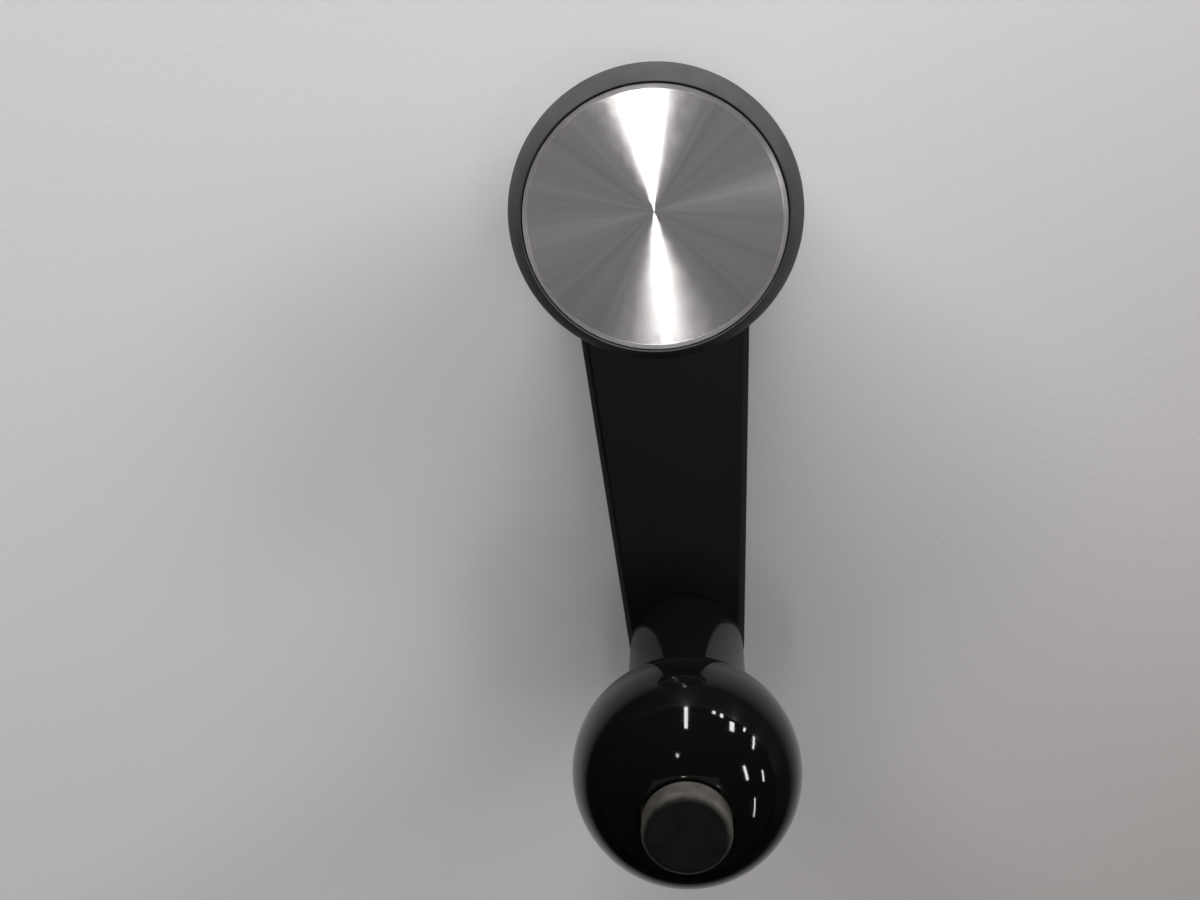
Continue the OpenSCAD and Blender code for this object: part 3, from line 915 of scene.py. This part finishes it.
def thrust_parts():
    """Washers and the dust ring at the two ends of the knob, which stay with the arm."""
    base = washer("base_washer_steel", BASE_WASHER, TENON_BORE, KNOB_X)
    finish_piece(base, "handle", "base_washer", TURNED_STEEL)
    rivet = washer("rivet_washer_zinc", RIVET_WASHER, TENON_BORE, KNOB_X)
    finish_piece(rivet, "handle", "rivet_washer", ZINC)
    head = washer("head_washer_bronze", HEAD_WASHER, BUSH_BORE, KNOB_X, 0.1)
    finish_piece(head, "handle", "head_washer", BUSH_BRONZE)
    box = Box("dust_seal")
    section = wire_section(box.radius - box.height / 2, box.height / 2, box.centre.z)
    seal = lathe("dust_seal_ring", section, KNOB_X)
    finish_piece(seal, "handle", "dust_seal", RUBBER, angle=60)


def wave_washer():
    """Spring washer, flat stock bent to a shallow curve about Y."""
    box = Box("wave_washer")
    rise = box.height - WAVE_STOCK
    reach = (box.high.x - box.low.x) / 2
    z0 = box.high.z - WAVE_STOCK
    outline = [
        (SPINDLE_RADIUS + 0.3, z0, 0.1),
        (reach, z0, 0.1),
        (reach, box.high.z, 0.1),
        (SPINDLE_RADIUS + 0.3, box.high.z, 0.1),
    ]
    wave = lathe("wave_washer_spring", fillet(outline, 30), KNOB_X, 96)
    for vertex in wave.data.vertices:
        off = (vertex.co.x / MM - KNOB_X) / reach
        vertex.co.z -= rise * off * off * MM
    finish_piece(wave, "handle", "wave_washer", SPRING_STEEL)


# ---------------------------------------------------------------- knob

KNOB = Box("knob")
BALL_RADIUS = KNOB.radius
BALL_Z = 58.0
NECK_RADIUS = 9.2
NECK_FILLET = 12.0
NECK_BASE_ROUND = 0.6
BORE_MOUTH_ROUND = 0.35
DUST_GROOVE = 8.3
DUST_GROOVE_Z = 15.45
COUNTERBORE = 6.7


def knob():
    """Ball on a tapering neck, bored through for the liner."""
    bore = LINER.radius
    corner_x = NECK_RADIUS + NECK_FILLET
    corner_z = BALL_Z - math.sqrt((BALL_RADIUS + NECK_FILLET) ** 2 - corner_x**2)
    lean = math.degrees(math.atan2(BALL_Z - corner_z, corner_x))
    mouth_x = bore + BORE_MOUTH_ROUND
    mouth_turn = math.acos(mouth_x / (BALL_RADIUS - BORE_MOUTH_ROUND))
    mouth_z = BALL_Z + (BALL_RADIUS - BORE_MOUTH_ROUND) * math.sin(mouth_turn)
    outline = [
        (bore, LINER.low.z),
        (COUNTERBORE, LINER.low.z),
        (COUNTERBORE, DUST_GROOVE_Z, 0.1),
        (DUST_GROOVE, DUST_GROOVE_Z, 0.1),
        (DUST_GROOVE, KNOB.low.z, 0.1),
        (NECK_RADIUS, KNOB.low.z, NECK_BASE_ROUND),
        *arc((corner_x, corner_z), NECK_FILLET, 180, 180 - lean, 20),
        *arc((0, BALL_Z), BALL_RADIUS, -lean, math.degrees(mouth_turn), 60)[1:],
        *arc((mouth_x, mouth_z), BORE_MOUTH_ROUND, math.degrees(mouth_turn), 180, 8)[1:],
    ]
    ball = lathe("ball_knob", fillet(outline), KNOB_X, 192)
    finish_piece(ball, "knob", "knob", PHENOLIC)


def knob_bearings():
    """Brass liner moulded into the knob, and the two bushes pressed into it."""
    outer, inner = Box("outer_bush"), Box("inner_bush")
    liner = washer("knob_liner_tube", LINER, outer.radius, KNOB_X, 0.2)
    finish_piece(liner, "knob", "knob_liner", LINER_BRASS)
    top = washer("outer_bush_bronze", outer, BUSH_BORE, KNOB_X, 0.25)
    finish_piece(top, "knob", "outer_bush", BUSH_BRONZE)
    flange = [
        (BUSH_BORE, inner.low.z, 0.25),
        (inner.radius, inner.low.z, 0.2),
        (inner.radius, LINER.low.z, 0.1),
        (outer.radius, LINER.low.z),
        (outer.radius, inner.high.z, 0.25),
        (BUSH_BORE, inner.high.z, 0.25),
    ]
    bush = lathe("inner_bush_flanged", fillet(flange, 30), KNOB_X, 96)
    finish_piece(bush, "knob", "inner_bush", BUSH_BRONZE)


crank_arm()
drive_insert()
retaining_screw()
screw_washers()
cap_bezel()
cap_disc()
cap_rings()
knob_spindle()
thrust_parts()
wave_washer()
knob()
knob_bearings()


# ---------------------------------------------------------------- table, light and camera

TABLE_RADIUS = 4000
# Length over which the top is painted darker, as painted shade where the room's light falls off
SHADE_FALLOFF_LENGTH = 250
# The lit pool of the table that polished parts mirror: radii where it starts and stops fading
POOL_CENTRE = Vector((102, -15, 0))
POOL_BRIGHT = 70
POOL_EDGE = 155
POOL_OUTSIDE = 0.02
# The shade under the arm's end, in the same mirrored pool
SHADE_CENTRE = Vector((64, -3, 0))
SHADE_INNER = 16
SHADE_OUTER = 33
SHADE_LOW = 0.4
LAMP_AIM = Vector((KNOB_X / 2, 0, ARM_TOP)) * MM
# Distance of the lamps that make glints, in metres, and their power in watts per square metre
GLINT_DISTANCE = 1.5
GLINT_POWER = 60
# Place and aim in millimetres, roll in degrees and lens in millimetres
CAMERA_PLACE = Vector((-36.8, 7.0, 266.4))
CAMERA_AIM = Vector((37.6, -11.6, ARM_TOP))
CAMERA_ROLL = -170.16
CAMERA_LENS = 49.6


def table_material():
    """Matt pale top, painted darker towards +X and +Y as painted shade of the room's light falling off. The
    polished ball only mirrors the painted lit pool round it, with painted shade under the arm's end, as it
    would in a dim room."""
    s = Shader("table_top", (0.72, 0.71, 0.715), Roughness=0.6)
    parts = s.node("ShaderNodeSeparateXYZ", Vector=s.coords).outputs
    # Painted shade: the top's colour darkens towards +X and +Y in place of light falling off
    along = s.spread(s.math("ADD", parts["X"], parts["Y"]), 0, 1, 0, SHADE_FALLOFF_LENGTH * MM)
    tone = s.shade(along, (0.715, 0.698, 0.706), (0.43, 0.403, 0.391), 0, 1)
    pool = s.spread(s.distance(POOL_CENTRE), 1, POOL_OUTSIDE, POOL_BRIGHT * MM, POOL_EDGE * MM)
    shade = s.spread(s.distance(SHADE_CENTRE), SHADE_LOW, 1, SHADE_INNER * MM, SHADE_OUTER * MM)
    lit = s.math("MULTIPLY", pool, shade)
    mirrored = s.node("ShaderNodeLightPath").outputs["Is Glossy Ray"]
    keep = s.node("ShaderNodeMix", data_type="FLOAT", Factor=mirrored)
    keep.inputs[2].default_value = 1
    s.links.new(lit, keep.inputs[3])
    faded = s.node("ShaderNodeVectorMath", operation="SCALE", Vector=tone, Scale=keep.outputs[0])
    s.set("Base Color", faded.outputs["Vector"])
    s.bump(s.noise(900, 3), 0.02)
    return s.material


def table():
    """Flat top that the handle lies on."""
    top = lathe("table_top", [(0, 0), (TABLE_RADIUS, 0), (0, -1)], KNOB_X, 96)
    top.data.materials.append(table_material())


def lamp(name, azimuth, elevation, distance, size, power, glossy=True, diffuse=True, turn=0):
    """Area lamp aimed at the middle of the handle. Size is (wide, tall) in metres, and turn spins
    the lamp about its aim. A glossy lamp shows as a reflection, and a diffuse one lights matt faces."""
    a, e = math.radians(azimuth), math.radians(elevation)
    out = Vector((math.cos(a) * math.cos(e), math.sin(a) * math.cos(e), math.sin(e)))
    light = bpy.data.lights.new(name, "AREA")
    light.shape = "RECTANGLE"
    light.size, light.size_y = size
    light.energy = power
    thing = bpy.data.objects.new(name, light)
    thing.location = LAMP_AIM + out * distance
    thing.rotation_mode = "QUATERNION"
    spin = Matrix.Rotation(math.radians(turn), 3, "Z").to_quaternion()
    thing.rotation_quaternion = out.to_track_quat("Z", "Y") @ spin
    thing.visible_camera = False
    thing.visible_glossy = glossy
    thing.visible_diffuse = diffuse
    bpy.context.scene.collection.objects.link(thing)


def room():
    """Dim room for the reflections, and a pale backdrop for the camera."""
    world = bpy.data.worlds.new("room")
    world.use_nodes = True
    nodes, links = world.node_tree.nodes, world.node_tree.links
    dim = nodes["Background"]
    dim.inputs["Color"].default_value = (0.02, 0.02, 0.021, 1)
    pale = nodes.new("ShaderNodeBackground")
    pale.inputs["Color"].default_value = (0.55, 0.55, 0.56, 1)
    mix = nodes.new("ShaderNodeMixShader")
    links.new(nodes.new("ShaderNodeLightPath").outputs["Is Camera Ray"], mix.inputs["Fac"])
    links.new(dim.outputs["Background"], mix.inputs[1])
    links.new(pale.outputs["Background"], mix.inputs[2])
    links.new(mix.outputs["Shader"], nodes["World Output"].inputs["Surface"])
    bpy.context.scene.world = world


def light():
    """Soft fills that only light matt faces, a dim ceiling, a strip and a panel that the disc
    mirrors, and small lamps that only show as glints on the ball."""
    room()
    lamp("back", 180, 12, 1.2, (0.6, 0.4), 15.6, glossy=False)
    lamp("back_left", 210, 12, 1.2, (0.6, 0.4), 13.0, glossy=False)
    lamp("back_right", 128, 12, 1.2, (0.6, 0.4), 11.6, glossy=False)
    lamp("right", 108, 14, 1.2, (0.6, 0.6), 3.8, glossy=False)
    lamp("near", 160, 25, 0.4, (0.2, 0.2), 0.15, glossy=False)
    lamp("over_right", 60, 70, 0.6, (0.25, 0.25), 0.06, glossy=False)
    lamp("ceiling", 180, 88, 1.2, (1.5, 0.66), 0.48)
    lamp("overhead", -153, 86, 1.19, (0.028, 0.26), 0.72, turn=-27)
    lamp("side_panel", 81, 69.4, 1.27, (0.1, 0.05), 0.32, turn=-9)
    glints = (
        (177, 10, 0.08, 0.70, 0),
        (153, 1, 0.07, 0.08, 0),
        (146, 1, 0.07, 0.12, 0),
        (135, 7, 0.11, 0.24, 15),
        (124, 1, 0.05, 0.12, 0),
        (112, 4, 0.05, 0.30, 25),
        (99, 29, 0.32, 0.07, -10),
        (87, 12, 0.22, 0.04, -10),
        (65, 23, 0.40, 0.025, 12),
        (-170, 49, 0.05, 0.08, 0),
    )
    for i, (azimuth, elevation, wide, tall, turn) in enumerate(glints):
        power = GLINT_POWER * wide * tall
        lamp(f"glint_{i}", azimuth, elevation, GLINT_DISTANCE, (wide, tall), power, diffuse=False, turn=turn)


def camera():
    """Camera over the hub, looking down the arm to the knob."""
    data = bpy.data.cameras.new("camera")
    data.lens = CAMERA_LENS
    data.sensor_width = 36
    data.clip_start = 0.01
    thing = bpy.data.objects.new("camera", data)
    thing.location = CAMERA_PLACE * MM
    thing.rotation_mode = "QUATERNION"
    look = (CAMERA_AIM - CAMERA_PLACE).to_track_quat("-Z", "Y")
    thing.rotation_quaternion = look @ Matrix.Rotation(math.radians(CAMERA_ROLL), 3, "Z").to_quaternion()
    bpy.context.scene.collection.objects.link(thing)
    bpy.context.scene.camera = thing


table()
light()
camera()
bpy.context.scene.view_settings.view_transform = "Standard"
bpy.context.scene.cycles.use_denoising = True
